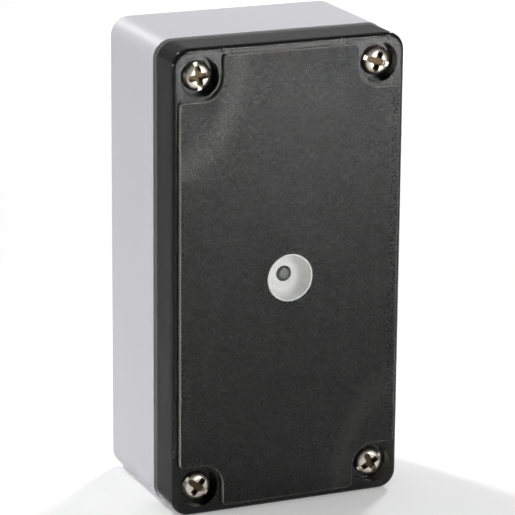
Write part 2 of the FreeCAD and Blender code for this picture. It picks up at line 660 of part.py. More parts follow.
def make_lid_screw(label, side_x, side_z, slot_angle):
    """A pan head screw with a slot and a cross recess, seated in its counterbore."""
    seat = f"{JOINT} - {LEDGE} + counterbore_depth"
    turn = FreeCAD.Rotation(FreeCAD.Vector(0, 1, 0), slot_angle)
    z = f"{MIDDLE} + {signed(side_z, SCREW_Z)}"
    body = new_body(label, signed(side_x, SCREW_X), seat, z, turn)
    length = f"( {LEDGE} - counterbore_depth + insert_length - screw_spare )"
    profile = new_sketch(body, f"{label}_profile", "YZ_Plane")
    points = [
        ("- head_height", "0"),
        ("- head_height", "head_diameter / 2"),
        ("0", "head_diameter / 2"),
        ("0", "thread_diameter / 2"),
        (f"{length} - tip_chamfer", "thread_diameter / 2"),
        (length, "thread_diameter / 2 - tip_chamfer"),
        (length, "0"),
    ]
    draw_profile(profile, points)
    revolve(body, profile, "H_Axis")
    top = -value("head_height")
    soften(body, "Fillet", f"{label}_dome", lambda edge: level_with(edge, top), "head_radius")
    slot = new_sketch(body, f"{label}_slot", lift="head_height")
    draw_profile(slot, rectangle("slot_width", "head_diameter"))
    pocket(body, slot, "slot_depth")
    cross = new_sketch(body, f"{label}_cross", lift="head_height")
    reach = "( cross_length / 2 )"
    arm = ("( cross_width / 2 )", "( cross_width / 2 )", "cross_bend")
    draw_stepped(cross, reach, reach, arm, arm, "cross_round")
    pocket(body, cross, "cross_depth")


def rectangle(width, height):
    """The four corners of a rectangle about the sketch's origin."""
    x = f"( {width} ) / 2"
    y = f"( {height} ) / 2"
    return [(x, f"- {y}"), (x, y), (f"- {x}", y), (f"- {x}", f"- {y}")]


def make_insert(label, side_x, side_z):
    """A brass insert with a rim and a waist, set into a screw column."""
    body = new_body(label, signed(side_x, SCREW_X), JOINT, f"{MIDDLE} + {signed(side_z, SCREW_Z)}")
    bore = "thread_diameter / 2 + thread_fit"
    outside = "insert_diameter / 2"
    waist = f"{outside} - insert_groove"
    waist_start = "( insert_length - insert_waist ) / 2"
    waist_end = "( insert_length + insert_waist ) / 2"
    profile = new_sketch(body, f"{label}_profile", "YZ_Plane")
    points = [
        ("0", bore),
        ("insert_length", bore),
        ("insert_length", outside),
        (f"{waist_end} + insert_slope", outside),
        (waist_end, waist),
        (waist_start, waist),
        (f"{waist_start} - insert_slope", outside),
        ("insert_flange_thickness", outside),
        ("insert_flange_thickness", "insert_flange / 2"),
        ("0", "insert_flange / 2"),
    ]
    draw_profile(profile, points)
    revolve(body, profile, "H_Axis")


def make_cup():
    """The white light cup, flush with the field, with a shoulder behind the lid."""
    body = new_body("sensor_cup", y=FRONT, z=MIDDLE)
    shoulder = "plate_wall + cup_seal_thickness"
    inside = "cup_diameter / 2 - cup_rim"
    profile = new_sketch(body, "cup_profile", "YZ_Plane")
    points = [
        ("0", inside),
        ("cup_recess", inside),
        ("cup_recess", "diode_diameter / 2 + diode_room"),
        (CUP_DEPTH, "diode_diameter / 2 + diode_room"),
        (CUP_DEPTH, "cup_shoulder_diameter / 2"),
        (shoulder, "cup_shoulder_diameter / 2"),
        (shoulder, "cup_diameter / 2"),
        ("0", "cup_diameter / 2"),
    ]
    draw_profile(profile, points)
    revolve(body, profile, "H_Axis")
    depth = value("cup_recess")
    size = 2 * value(inside)
    soften(body, "Fillet", "cup_bend", lambda edge: ring_at(edge, depth, size), "cup_floor_radius")


def make_cup_seal():
    """The flat ring between the cup's shoulder and the lid."""
    body = new_body("cup_seal", y=f"{FRONT} + plate_wall + cup_seal_thickness", z=MIDDLE)
    ring = new_sketch(body, "cup_seal_ring")
    draw_circle(ring, "0", "0", "cup_seal_diameter")
    draw_circle(ring, "0", "0", "cup_diameter + 2 * cup_room")
    pad(body, ring, "cup_seal_thickness")


def make_diode():
    """The light sensor: a domed can through the cup's floor, with two leads to its board."""
    body = new_body("photodiode", y=f"{FRONT} + cup_recess - diode_proud", z=MIDDLE)
    back = "( diode_proud + cup_floor + carrier_thickness )"
    profile = new_sketch(body, "diode_profile", "YZ_Plane")
    points = [
        ("0", "0"),
        (back, "0"),
        (back, "diode_flange_diameter / 2"),
        (f"{back} - diode_flange_thickness", "diode_flange_diameter / 2"),
        (f"{back} - diode_flange_thickness", "diode_diameter / 2"),
        ("0", "diode_diameter / 2"),
    ]
    draw_profile(profile, points)
    revolve(body, profile, "H_Axis")
    soften(body, "Fillet", "diode_dome_edge", lambda edge: level_with(edge, 0), "diode_dome")
    leads = new_sketch(body, "diode_leads", lift=f"- {back} - board_thickness - lead_proud")
    for sign in (-1, 1):
        draw_circle(leads, signed(sign, "lead_spacing / 2"), "0", "lead_diameter")
    pad(body, leads, "board_thickness + lead_proud")


def make_carrier():
    """The bridge that holds the cup forward against its seal."""
    body = new_body("sensor_carrier", y=f"{FRONT} + {CUP_DEPTH} + carrier_thickness", z=MIDDLE)
    plate = new_sketch(body, "carrier_plate")
    draw_centred(plate, "carrier_width", "carrier_height", "carrier_radius")
    draw_circle(plate, "0", "0", "diode_flange_diameter + 2 * diode_room")
    for sign in (-1, 1):
        draw_circle(plate, signed(sign, "carrier_screw_half_width"), "0", "small_thread + 2 * clear_room")
    pad(body, plate, "carrier_thickness")


def make_sensor_board():
    """The small board on the bridge's back."""
    body = new_body("sensor_board", y=SENSOR_BOARD_BACK, z=MIDDLE)
    plate = new_sketch(body, "sensor_board_plate")
    draw_centred(plate, "sensor_board_width", "sensor_board_height", "board_corner")
    for sign in (-1, 1):
        draw_circle(plate, signed(sign, "carrier_screw_half_width"), "0", "small_thread + 2 * clear_room")
        draw_circle(plate, signed(sign, "lead_spacing / 2"), "0", "lead_diameter + 2 * lead_room")
    pad(body, plate, "board_thickness")


def make_small_screw(label, x, y, z, thread, length, head_diameter, head_height, turn=None):
    """A pan head screw along Y with a cross recess, its head's seat at the body's origin."""
    body = new_body(label, x, y, z, turn)
    profile = new_sketch(body, f"{label}_profile", "YZ_Plane")
    points = [
        (f"- {head_height}", "0"),
        (f"- {head_height}", f"{head_diameter} / 2"),
        ("0", f"{head_diameter} / 2"),
        ("0", f"{thread} / 2"),
        (f"{length} - {thread} * {TIP_LENGTH}", f"{thread} / 2"),
        (length, f"{thread} * {TIP_RADIUS}"),
        (length, "0"),
    ]
    draw_profile(profile, points)
    revolve(body, profile, "H_Axis")
    top = -value(head_height)
    soften(body, "Fillet", f"{label}_dome", lambda edge: level_with(edge, top), f"{head_height} / 2")
    reach = f"{head_diameter} * {RECESS_REACH}"
    arm = f"{head_diameter} * {RECESS_ARM}"
    for name, width, height in (("along", arm, reach), ("across", reach, arm)):
        recess = new_sketch(body, f"{label}_{name}", lift=head_height)
        draw_profile(recess, rectangle(width, height))
        pocket(body, recess, f"{head_height} * {RECESS_DEPTH}")


def make_sensor_screws():
    """Two screws from behind, through the small board and the bridge into the lid's bosses."""
    about_face = FreeCAD.Rotation(FreeCAD.Vector(0, 0, 1), FULL_TURN / 2)
    for number, sign in ((1, -1), (2, 1)):
        x = signed(sign, "carrier_screw_half_width")
        sizes = ("small_thread", "small_screw_length", "small_head_diameter", "small_head_height")
        make_small_screw(f"sensor_screw_{number}", x, SENSOR_BOARD_BACK, MIDDLE, *sizes, about_face)


def make_board_screws():
    """Four screws that hold the main board on its bosses."""
    sizes = ("board_thread", "board_screw_length", "board_head_diameter", "board_head_height")
    corners = ((-1, 1), (1, 1), (-1, -1), (1, -1))
    for number, (side_x, side_z) in enumerate(corners, start=1):
        x = signed(side_x, BOARD_SCREW_X)
        z = f"{MIDDLE} + {signed(side_z, BOARD_SCREW_Z)}"
        make_small_screw(f"board_screw_{number}", x, BOARD_FRONT, z, *sizes)


def make_circuit_board():
    """The main board on the base's bosses."""
    body = new_body("circuit_board", y=f"{BOARD_FRONT} + board_thickness", z=MIDDLE)
    plate = new_sketch(body, "circuit_board_plate")
    draw_centred(plate, f"2 * {BOARD_X}", f"2 * {BOARD_Z}", "board_corner")
    draw_at_board_screws(plate, "board_thread + 2 * clear_room")
    pad(body, plate, "board_thickness")


def draw_contacts(sketch, side):
    """One square for each contact, in a level row."""
    count = round(value("contact_count"))
    for index in range(count):
        middle = f"( {index} - ( contact_count - 1 ) / 2 ) * contact_pitch"
        left = f"{middle} - ( {side} ) / 2"
        right = f"{middle} + ( {side} ) / 2"
        low = f"- ( {side} ) / 2"
        high = f"( {side} ) / 2"
        draw_profile(sketch, [(right, low), (right, high), (left, high), (left, low)])


def make_header():
    """The pin strip on the small board's back, pins pointing to the main board."""
    body = new_body("board_header", y=SENSOR_BOARD_BACK, z=CONTACTS_LEVEL)
    strip = new_sketch(body, "header_strip")
    draw_profile(strip, rectangle(STRIP_LENGTH, "contact_strip"))
    pad(body, strip, "contact_strip", reverse=True)
    pins = new_sketch(body, "header_pins", lift="- contact_strip")
    draw_contacts(pins, "pin_side")
    span = f"( {BOARD_FRONT} ) - ( {SENSOR_BOARD_BACK} )"
    pad(body, pins, f"{span} - contact_strip - socket_height + pin_engagement", reverse=True)


def make_socket():
    """The socket on the main board that takes the pins when the lid goes on."""
    body = new_body("board_socket", y=BOARD_FRONT, z=CONTACTS_LEVEL)
    strip = new_sketch(body, "socket_strip")
    draw_profile(strip, rectangle(STRIP_LENGTH, "contact_strip"))
    pad(body, strip, "socket_height")
    holes = new_sketch(body, "socket_holes", lift="socket_height")
    draw_contacts(holes, "pin_side + 2 * pin_room")
    pocket(body, holes, "pin_engagement + pin_room")


def terminal_middle(index):
    return f"( {index} - ( terminal_count - 1 ) / 2 ) * terminal_pitch"


def make_terminal_block():
    """The terminal block: wire entries below, clamp screws in front."""
    level = f"{BOARD_FOOT} + terminal_foot + terminal_height / 2"
    body = new_body("terminal_block", y=BOARD_FRONT, z=level)
    block = new_sketch(body, "terminal_shell")
    draw_profile(block, rectangle("terminal_count * terminal_pitch", "terminal_height"))
    pad(body, block, "terminal_depth")
    front = -value("terminal_depth")

    def long_front_edge(edge):
        level_run = abs(edge.BoundBox.ZMax - edge.BoundBox.ZMin) < NEAR
        return level_with(edge, front) and level_run

    soften(body, "Chamfer", "terminal_bevel", long_front_edge, "terminal_chamfer")
    count = round(value("terminal_count"))
    shafts = new_sketch(body, "terminal_shafts", lift="terminal_depth")
    for index in range(count):
        draw_circle(shafts, terminal_middle(index), "0", "terminal_screw_diameter + 2 * terminal_screw_room")
    pocket(body, shafts, "terminal_screw_sunk + terminal_screw_length")
    entries = new_sketch(body, "terminal_entries", "XY_Plane", "- terminal_height / 2")
    for index in range(count):
        left = f"{terminal_middle(index)} - terminal_entry / 2"
        right = f"{terminal_middle(index)} + terminal_entry / 2"
        near = "- terminal_entry_lift"
        far = "- terminal_entry_lift - terminal_entry"
        draw_profile(entries, [(right, far), (right, near), (left, near), (left, far)])
    pocket(body, entries, "terminal_entry_depth", reverse=True)

    seat = f"{BOARD_FRONT} - terminal_depth + terminal_screw_sunk"
    for index in range(count):
        make_terminal_screw(f"terminal_screw_{index + 1}", terminal_middle(index), seat, level)


def make_terminal_screw(label, x, y, z):
    """A slotted clamp screw, its face at the body's origin."""
    body = new_body(label, x, y, z)
    shank = new_sketch(body, f"{label}_shank")
    draw_circle(shank, "0", "0", "terminal_screw_diameter")
    pad(body, shank, "terminal_screw_length", reverse=True)
    slot = new_sketch(body, f"{label}_slot")
    draw_profile(slot, rectangle("terminal_slot_width", "terminal_screw_diameter"))
    pocket(body, slot, "terminal_slot_depth")


def make_chip():
    """The controller chip: bevelled body with a row of leads along each side."""
    x = f"{BOARD_X} - chip_side"
    body = new_body("controller_chip", x, BOARD_FRONT, f"{MIDDLE} + chip_rise")
    block = new_sketch(body, "chip_block", lift="chip_lift")
    draw_profile(block, rectangle("chip_width", "chip_height"))
    pad(body, block, "chip_thickness")
    face = -value("chip_lift + chip_thickness")
    soften(body, "Chamfer", "chip_bevel", lambda edge: level_with(edge, face), "chip_chamfer")
    leads = new_sketch(body, "chip_leads")
    count = round(value("chip_lead_count"))
    for index in range(count):
        middle = f"( {index} - ( chip_lead_count - 1 ) / 2 ) * chip_lead_pitch"
        high = f"{middle} + chip_lead_width / 2"
        low = f"{middle} - chip_lead_width / 2"
        reach = "( chip_width / 2 + chip_lead_reach )"
        draw_profile(leads, [(reach, low), (reach, high), (f"- {reach}", high), (f"- {reach}", low)])
    pad(body, leads, "chip_lead_thickness")


def make_capacitor(number):
    """An electrolytic can standing on the main board."""
    x = f"- {BOARD_X} + capacitor_side + {number - 1} * capacitor_spacing"
    body = new_body(f"capacitor_{number}", x, BOARD_FRONT, f"{MIDDLE} + capacitor_rise")
    radius = "capacitor_diameter / 2"
    profile = new_sketch(body, f"capacitor_{number}_profile", "YZ_Plane")
    points = [
        ("0", "0"),
        ("- capacitor_height", "0"),
        ("- capacitor_height", radius),
        ("- capacitor_neck_lift - capacitor_neck_height / 2", radius),
        ("- capacitor_neck_lift", f"{radius} - capacitor_neck"),
        ("- capacitor_neck_lift + capacitor_neck_height / 2", radius),
        ("0", radius),
    ]
    draw_profile(profile, points)
    revolve(body, profile, "H_Axis")
    top = -value("capacitor_height")
    soften(body, "Fillet", f"capacitor_{number}_edge", lambda edge: level_with(edge, top), "capacitor_edge")


def make_choke():
    """A drum choke: two flanges and the winding between them."""
    x = f"{BOARD_X} - choke_side"
    body = new_body("choke", x, BOARD_FRONT, f"{MIDDLE} - choke_drop")
    radius = "choke_diameter / 2"
    profile = new_sketch(body, "choke_profile", "YZ_Plane")
    points = [
        ("0", "0"),
        ("- choke_height", "0"),
        ("- choke_height", radius),
        ("- choke_height + choke_flange", radius),
        ("- choke_height + choke_flange", f"{radius} - choke_waist"),
        ("- choke_flange", f"{radius} - choke_waist"),
        ("- choke_flange", radius),
        ("0", radius),
    ]
    draw_profile(profile, points)
    revolve(body, profile, "H_Axis")


def make_temperature_sensor():
    """A bead thermistor held off the main board by its two leads."""
    x = f"{BOARD_X} - bead_side"
    body = new_body("temperature_sensor", x, BOARD_FRONT, f"{BOARD_FOOT} + bead_foot")
    bead = new_sketch(body, "bead_profile", "YZ_Plane")
    points = [
        ("- bead_lift - bead_length", "0"),
        ("- bead_lift - bead_length", "bead_diameter / 2"),
        ("- bead_lift", "bead_diameter / 2"),
        ("- bead_lift", "0"),
    ]
    draw_profile(bead, points)
    revolve(body, bead, "H_Axis")
    soften(body, "Fillet", "bead_ends", lambda edge: radius_of(edge) is not None, "bead_round")
    leads = new_sketch(body, "bead_leads")
    for sign in (-1, 1):
        draw_circle(leads, signed(sign, "bead_lead_spacing / 2"), "0", "bead_lead_diameter")
    pad(body, leads, "bead_lift + bead_length / 2")


def make_grommet():
    """The rubber grommet in the lower wall, with a membrane round the cable hole."""
    body = new_body("cable_grommet", y="box_depth / 2 - entry_lift")
    sleeve = "entry_diameter / 2 - grommet_fit"
    lip = "entry_diameter / 2 + grommet_lip"
    bore = "grommet_bore / 2"
    profile = new_sketch(body, "grommet_profile", "YZ_Plane")
    points = [
        ("entry_recess_diameter / 2 - grommet_fit", "grommet_sunk"),
        ("entry_recess_diameter / 2 - grommet_fit", "entry_recess_depth"),
        (sleeve, "entry_recess_depth"),
        (sleeve, "seal_wall"),
        (lip, "seal_wall"),
        (sleeve, "seal_wall + grommet_lip_height"),
        (bore, "seal_wall + grommet_lip_height"),
        (bore, "grommet_mouth"),
        ("cable_hole / 2", "grommet_mouth"),
        ("cable_hole / 2", "grommet_mouth - membrane_thickness"),
        (bore, "grommet_mouth - membrane_thickness"),
        (bore, "grommet_sunk"),
    ]
    draw_profile(profile, points)
    revolve(body, profile, "V_Axis")


make_base()
make_lid()
make_gasket()
for screw in SCREWS:
    make_lid_screw(*screw)
for position, (_, across, upward, _) in enumerate(SCREWS, start=1):
    make_insert(f"thread_insert_{position}", across, upward)
make_cup()
make_cup_seal()
make_diode()
make_carrier()
make_sensor_board()
make_sensor_screws()
make_header()
make_socket()
make_circuit_board()
make_board_screws()
make_terminal_block()
make_chip()
make_capacitor(1)
make_capacitor(2)
make_choke()
make_temperature_sensor()
make_grommet()
doc.recompute()

for item in doc.Objects:
    if "Invalid" in item.State or "Error" in item.State:
        raise ValueError(f"{item.Name} failed")

bodies = [item for item in doc.Objects if item.TypeId == "PartDesign::Body"]
for body in bodies:
    if body.Shape.isNull() or not body.Shape.isValid() or len(body.Shape.Solids) != 1:
        raise ValueError(f"{body.Label} is not one sound solid")

os.makedirs("parts", exist_ok=True)
for body in bodies:
    body.Shape.exportStep(f"parts/{body.Label}.step")
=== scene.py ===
import math

import bpy
from mathutils import Matrix, Vector


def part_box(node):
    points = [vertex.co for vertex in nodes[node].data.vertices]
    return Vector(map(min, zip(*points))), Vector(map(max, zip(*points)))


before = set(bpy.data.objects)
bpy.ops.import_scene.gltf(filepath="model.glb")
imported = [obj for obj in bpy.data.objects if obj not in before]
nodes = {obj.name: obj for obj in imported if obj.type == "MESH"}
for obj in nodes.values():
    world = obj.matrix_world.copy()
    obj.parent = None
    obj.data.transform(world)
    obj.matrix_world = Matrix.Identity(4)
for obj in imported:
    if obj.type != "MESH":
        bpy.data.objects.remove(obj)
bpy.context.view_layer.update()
MM = 0.001

# The photograph is a square of this many pixels, and its camera was fitted to the lid's
# corners, screws and cup. The target lies on the lid's border plane.
PHOTO_SIDE = 515
FOCAL_PIXELS = 3052.96
SENSOR_WIDTH = 36.0
CAMERA_YAW = -0.4081
CAMERA_PITCH = 0.283
CAMERA_ROLL = 0.008
CAMERA_DISTANCE = 1005.83 * MM
TARGET = Vector((-11.1, -27.2, 87.7)) * MM

# The lid's field stands in front of its border by the rise, and the joint band is the strip of
# its skirt next to the base.
LID_LOW, LID_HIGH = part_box("lid")
MIDDLE_Z = (LID_LOW.z + LID_HIGH.z) / 2
FIELD_RISE = 1.8 * MM
BORDER_Y = LID_LOW.y + FIELD_RISE
LID_DEPTH = 18.2 * MM
JOINT_Y = LID_LOW.y + LID_DEPTH
JOINT_BAND = 2.8 * MM

# Light that passes through the lid's plastic is dimmed this much per metre. The index is lower
# than a real polycarbonate's 1.58, because the photograph's reflections are that dim.
LID_TONE = (0.6, 0.59, 0.55)
LID_INDEX = 1.41
SMOKE_TINT = (0.03, 0.03, 0.0)
SMOKE_DENSITY = 620.0

# Roughness of the lid: its border and walls, its frosted field, and its two long sides.
CLEAR = (0.09, 0.15)
FROST = (0.22, 0.34)
SIDE_FROST = 0.6
FIELD_GRAIN = 0.45 * MM
FIELD_RELIEF = 0.022 * MM
SPECK_SIZE = 0.5 * MM
LID_DRIFT = 3.0 * MM

# How much each part of the lid is made milky, where clear plastic is none: the step, rim and joint
# values paint pale lines of light on those walls, the upper and lower values paint pale bands in the
# field, and the specks are a random grain.
STEP_PAINTED_HIGHLIGHT = 0.34
RIM_PAINTED_HIGHLIGHT = 0.26
JOINT_PAINTED_LIGHT = 0.17
SPECK_CLOUD = 0.14
UPPER_PAINTED_BAND = 0.10
LOWER_PAINTED_BAND = 0.028

# Paler bands of painted light lie in the field where the lit edges of the base's two tall wells would
# show through: a quarter of an ellipse about the upper left and lower right corners, as wide and high
# as this.
BAND_WIDTH = 23.0 * MM
BAND_HEIGHT = 39.0 * MM
BAND_SOFTNESS = 0.22

# The lid screws: the rounding of the pan head, and how far from its middle the recess is painted in
# brown shade.
HEAD_ROUND = 2.6 * MM
SHADE_REACH = 3.1 * MM
DULL_STEEL = (0.56, 0.51, 0.44)
BRIGHT_STEEL = (0.78, 0.73, 0.66)
DARK_RECESS_SHADE = (0.035, 0.025, 0.014)
PALE_RECESS_SHADE = (0.12, 0.09, 0.052)

LENS_RADIUS = 2.6 * MM
TRACK_PITCH = 2.54 * MM
CHOKE_FLANGE = 1.4 * MM
WIRE_PITCH = 0.5 * MM

FLOOR_SIDE = 12.0
FLOOR_GLOW = 0.25
SKY = 0.3

# Each lamp's name, its place, the point that it shines at, its side, its watts, and how wide
# its grid opens in degrees.
LAMPS = (
    ("key_lamp", (-0.7, 1.6, 1.5), (0.02, -0.05, 0.17), 0.25, 0.45, 18),
    ("floor_lamp", (1.25, 1.15, 1.3), (0.36, 0.5, 0.0), 0.3, 2.4, 50),
    ("front_lamp", (0.35, -0.85, 0.7), (0.35, -0.85, 0.0), 0.3, 7.0, 70),
    ("fill_lamp", (0.6, -1.35, 0.5), (0.0, 0.0, 0.08), 0.6, 0.34, 30),
    ("left_lamp", (-1.3, 0.2, 0.2), (0.0, 0.0, 0.03), 0.4, 0.19, 30),
)


class Finish:
    """A Principled material whose colour, roughness and relief come from nodes."""

    def __init__(self, name, colour, roughness, **sockets):
        self.material = bpy.data.materials.new(name)
        self.material.use_nodes = True
        self.nodes = self.material.node_tree.nodes
        self.links = self.material.node_tree.links
        self.shader = next(n for n in self.nodes if n.type == "BSDF_PRINCIPLED")
        self.shader.inputs["Base Color"].default_value = (*colour, 1.0)
        self.shader.inputs["Roughness"].default_value = roughness
        for socket, value in sockets.items():
            self.shader.inputs[socket.replace("_", " ")].default_value = value
        self.place = self.nodes.new("ShaderNodeTexCoord").outputs["Object"]

    def feed(self, socket, value):
        """Give a socket a number, a colour or another node's output."""
        if isinstance(value, (int, float)):
            socket.default_value = value
        elif isinstance(value, tuple):
            socket.default_value = (*value, 1.0)
        else:
            self.links.new(value, socket)

    def set(self, socket, value):
        self.links.new(value, self.shader.inputs[socket])

    def noise(self, size, detail=2.0, stretch=(1, 1, 1)):
        """Noise with features of this size in metres, stretched along the axes."""
        mapping = self.nodes.new("ShaderNodeMapping")
        mapping.inputs["Scale"].default_value = [1 / (size * s) for s in stretch]
        self.links.new(self.place, mapping.inputs["Vector"])
        texture = self.nodes.new("ShaderNodeTexNoise")
        texture.inputs["Scale"].default_value = 1.0
        texture.inputs["Detail"].default_value = detail
        self.links.new(mapping.outputs["Vector"], texture.inputs["Vector"])
        return texture.outputs["Fac"]

    def axis(self, name):
        """One coordinate of the shaded point, in metres."""
        split = self.nodes.new("ShaderNodeSeparateXYZ")
        self.links.new(self.place, split.inputs["Vector"])
        return split.outputs[name]

    def facing(self, name):
        """How squarely the surface faces along one axis, 0 to 1."""
        split = self.nodes.new("ShaderNodeSeparateXYZ")
        geometry = self.nodes.new("ShaderNodeNewGeometry")
        self.links.new(geometry.outputs["Normal"], split.inputs["Vector"])
        return self.math("ABSOLUTE", split.outputs[name])

    def math(self, operation, *values):
        node = self.nodes.new("ShaderNodeMath")
        node.operation = operation
        for socket, value in zip(node.inputs, values):
            self.feed(socket, value)
        return node.outputs["Value"]

    def product(self, *factors):
        total = factors[0]
        for factor in factors[1:]:
            total = self.math("MULTIPLY", total, factor)
        return total

    def distance(self, across, upward):
        """The length of the slanting side over these two."""
        square = self.math("ADD", self.product(across, across), self.product(upward, upward))
        return self.math("SQRT", square)

    def between(self, factor, low, high):
        """A number that follows the factor from low to high."""
        node = self.nodes.new("ShaderNodeMapRange")
        node.inputs["To Min"].default_value = low
        node.inputs["To Max"].default_value = high
        self.links.new(factor, node.inputs["Value"])
        return node.outputs["Result"]

    def step(self, value, low, high):
        """A smooth 0 to 1 as the value goes from low to high."""
        node = self.nodes.new("ShaderNodeMapRange")
        node.interpolation_type = "SMOOTHSTEP"
        node.inputs["From Min"].default_value = low
        node.inputs["From Max"].default_value = high
        self.links.new(value, node.inputs["Value"])
        return node.outputs["Result"]

    def blend(self, factor, low, high, kind="FLOAT"):
        """From one number to another as the factor goes from 0 to 1."""
        node = self.nodes.new("ShaderNodeMix")
        node.data_type = kind
        self.links.new(factor, node.inputs["Factor"])
        self.feed(node.inputs["A"], low)
        self.feed(node.inputs["B"], high)
        return node.outputs["Result"]

    def tint(self, factor, low, high):
        """From one colour to another as the factor goes from 0 to 1."""
        return self.blend(factor, low, high, "RGBA")

    def relief(self, height, depth, strength=1.0):
        """Bump from a height of 0 to 1 that stands for this depth in metres."""
        bump = self.nodes.new("ShaderNodeBump")
        bump.inputs["Distance"].default_value = depth
        self.feed(bump.inputs["Strength"], strength)
        self.links.new(height, bump.inputs["Height"])
        self.set("Normal", bump.outputs["Normal"])


def shade(colour, factor):
    return tuple(min(1.0, c * factor) for c in colour)


def moulded(name, colour, roughness, spread=0.04):
    """Moulded plastic: fine spark-eroded grain and a slow drift of tone."""
    finish = Finish(name, colour, roughness)
    fine = finish.noise(0.5 * MM, 3.0)
    drift = finish.noise(18 * MM)
    mottle = finish.math("ADD", finish.product(fine, 0.5), finish.product(drift, 0.5))
    finish.set("Base Color", finish.tint(mottle, shade(colour, 1 - spread), shade(colour, 1 + spread)))
    finish.set("Roughness", finish.between(fine, roughness - 0.06, roughness + 0.06))
    finish.relief(fine, 0.02 * MM)
    return finish.material


def painted_corner_band(finish, corner_x, corner_z, cloud):
    """A soft band of painted light along a quarter of an ellipse about one corner of the lid."""
    across = finish.product(finish.math("SUBTRACT", finish.axis("X"), corner_x), 1 / BAND_WIDTH)
    upward = finish.product(finish.math("SUBTRACT", finish.axis("Z"), corner_z), 1 / BAND_HEIGHT)
    past = finish.math("SUBTRACT", finish.distance(across, upward), 1.0)
    return finish.product(finish.step(finish.math("ABSOLUTE", past), BAND_SOFTNESS, 0.0), cloud)


def lid_painted_light_and_specks(finish, depth, field, wall):
    """Painted pale bands and random specks in the field, and painted pale lines of light on the walls
    at the field's step, the field's front rim and the joint.
    """
    upper = painted_corner_band(finish, LID_LOW.x, LID_HIGH.z, UPPER_PAINTED_BAND)
    lower = painted_corner_band(finish, LID_HIGH.x, LID_LOW.z, LOWER_PAINTED_BAND)
    specks = finish.product(finish.step(finish.noise(SPECK_SIZE, 1.0), 0.6, 0.75), SPECK_CLOUD)
    total = finish.product(finish.math("ADD", finish.math("ADD", upper, lower), specks), field)
    # Painted lines of light on the walls at the field's step, the field's front rim and the joint.
    for start, end, cloud in (
        (BORDER_Y + 0.1 * MM, BORDER_Y - 0.1 * MM, STEP_PAINTED_HIGHLIGHT),
        (LID_LOW.y + 0.8 * MM, LID_LOW.y + 0.5 * MM, RIM_PAINTED_HIGHLIGHT),
        (JOINT_Y - JOINT_BAND, JOINT_Y - 0.8 * JOINT_BAND, JOINT_PAINTED_LIGHT),
    ):
        edge = finish.product(wall, finish.step(depth, start, end), cloud)
        total = finish.math("ADD", total, edge)
    return total


def smoked_lid():
    """Smoked polycarbonate: clear border and walls, and a frosted, sparkling field, with painted pale
    light in bands and edge lines.
    """
    finish = Finish("smoked_polycarbonate", LID_TONE, 0.06, Transmission_Weight=1.0, IOR=LID_INDEX)
    depth = finish.axis("Y")
    field = finish.step(depth, BORDER_Y - 0.7 * FIELD_RISE, LID_LOW.y)
    wall = finish.step(finish.facing("Y"), 0.97, 0.75)
    outward = finish.math("ABSOLUTE", finish.axis("X"))
    side = finish.product(wall, finish.step(outward, LID_HIGH.x - 0.3 * MM, LID_HIGH.x - 0.1 * MM))
    grain = finish.noise(FIELD_GRAIN)
    drift = finish.noise(LID_DRIFT)
    rough = finish.blend(field, finish.between(drift, *CLEAR), finish.between(grain, *FROST))
    finish.set("Roughness", finish.blend(side, rough, SIDE_FROST))
    painted_light_and_specks = lid_painted_light_and_specks(finish, depth, field, wall)
    # Where light is painted, the plastic lets less through and looks pale.
    finish.set("Transmission Weight", finish.math("SUBTRACT", 1.0, painted_light_and_specks))
    finish.set("Base Color", finish.tint(drift, shade(LID_TONE, 0.97), shade(LID_TONE, 1.03)))
    finish.relief(grain, FIELD_RELIEF, field)
    smoke = finish.nodes.new("ShaderNodeVolumeAbsorption")
    smoke.inputs["Color"].default_value = (*SMOKE_TINT, 1.0)
    smoke.inputs["Density"].default_value = SMOKE_DENSITY
    output = next(n for n in finish.nodes if n.type == "OUTPUT_MATERIAL")
    finish.links.new(smoke.outputs["Volume"], output.inputs["Volume"])
    return finish.material


def painted_shade_in_head(finish):
    """0 on a lid screw's domed head and 1 in its recess, where shade is painted. The four stand
    mirrored about the middle.
    """
    low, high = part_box("lid_screw_1")
    across = finish.math("ABSOLUTE", finish.axis("X"))
    across = finish.math("SUBTRACT", across, abs(low.x + high.x) / 2)
    upward = finish.math("ABSOLUTE", finish.math("SUBTRACT", finish.axis("Z"), MIDDLE_Z))
    upward = finish.math("SUBTRACT", upward, abs((low.z + high.z) / 2 - MIDDLE_Z))
    radius = finish.distance(across, upward)
    past = finish.math("SUBTRACT", radius, (high.x - low.x) / 2 - HEAD_ROUND)
    past = finish.math("MAXIMUM", past, 0.0)
    square = finish.math("SUBTRACT", HEAD_ROUND**2, finish.product(past, past))
    fall = finish.math("SQRT", finish.math("MAXIMUM", square, 0.0))
    dome = finish.math("SUBTRACT", low.y + HEAD_ROUND, fall)
    sunk = finish.math("SUBTRACT", finish.axis("Y"), dome)
    near = finish.step(radius, 1.15 * SHADE_REACH, 0.9 * SHADE_REACH)
    return finish.product(finish.step(sunk, 0.25 * MM, 0.7 * MM), near)


def plated_steel():
    """Nickel-plated steel with fine wear, and painted brown shade in its slot and cross."""
    finish = Finish("plated_steel", (0.68, 0.63, 0.56), 0.3, Metallic=1.0)
    wear = finish.noise(1.6 * MM, 4.0)
    fine = finish.noise(0.25 * MM)
    steel = finish.tint(wear, DULL_STEEL, BRIGHT_STEEL)
    # Painted shade: the recess of slot and cross is darkened brown.
    recess_shade = finish.tint(fine, DARK_RECESS_SHADE, PALE_RECESS_SHADE)
    finish.set("Base Color", finish.tint(painted_shade_in_head(finish), steel, recess_shade))
    finish.set("Roughness", finish.between(wear, 0.24, 0.38))
    finish.relief(fine, 0.01 * MM)
    return finish.material


def machined(name, low, high, roughness):
    """Turned metal with rings along Y."""
    finish = Finish(name, low, roughness, Metallic=1.0)
    rings = finish.noise(0.3 * MM, 2.0, (8, 1, 8))
    finish.set("Base Color", finish.tint(rings, low, high))
    finish.set("Roughness", finish.between(rings, roughness - 0.08, roughness + 0.08))
    finish.relief(rings, 0.02 * MM)
    return finish.material


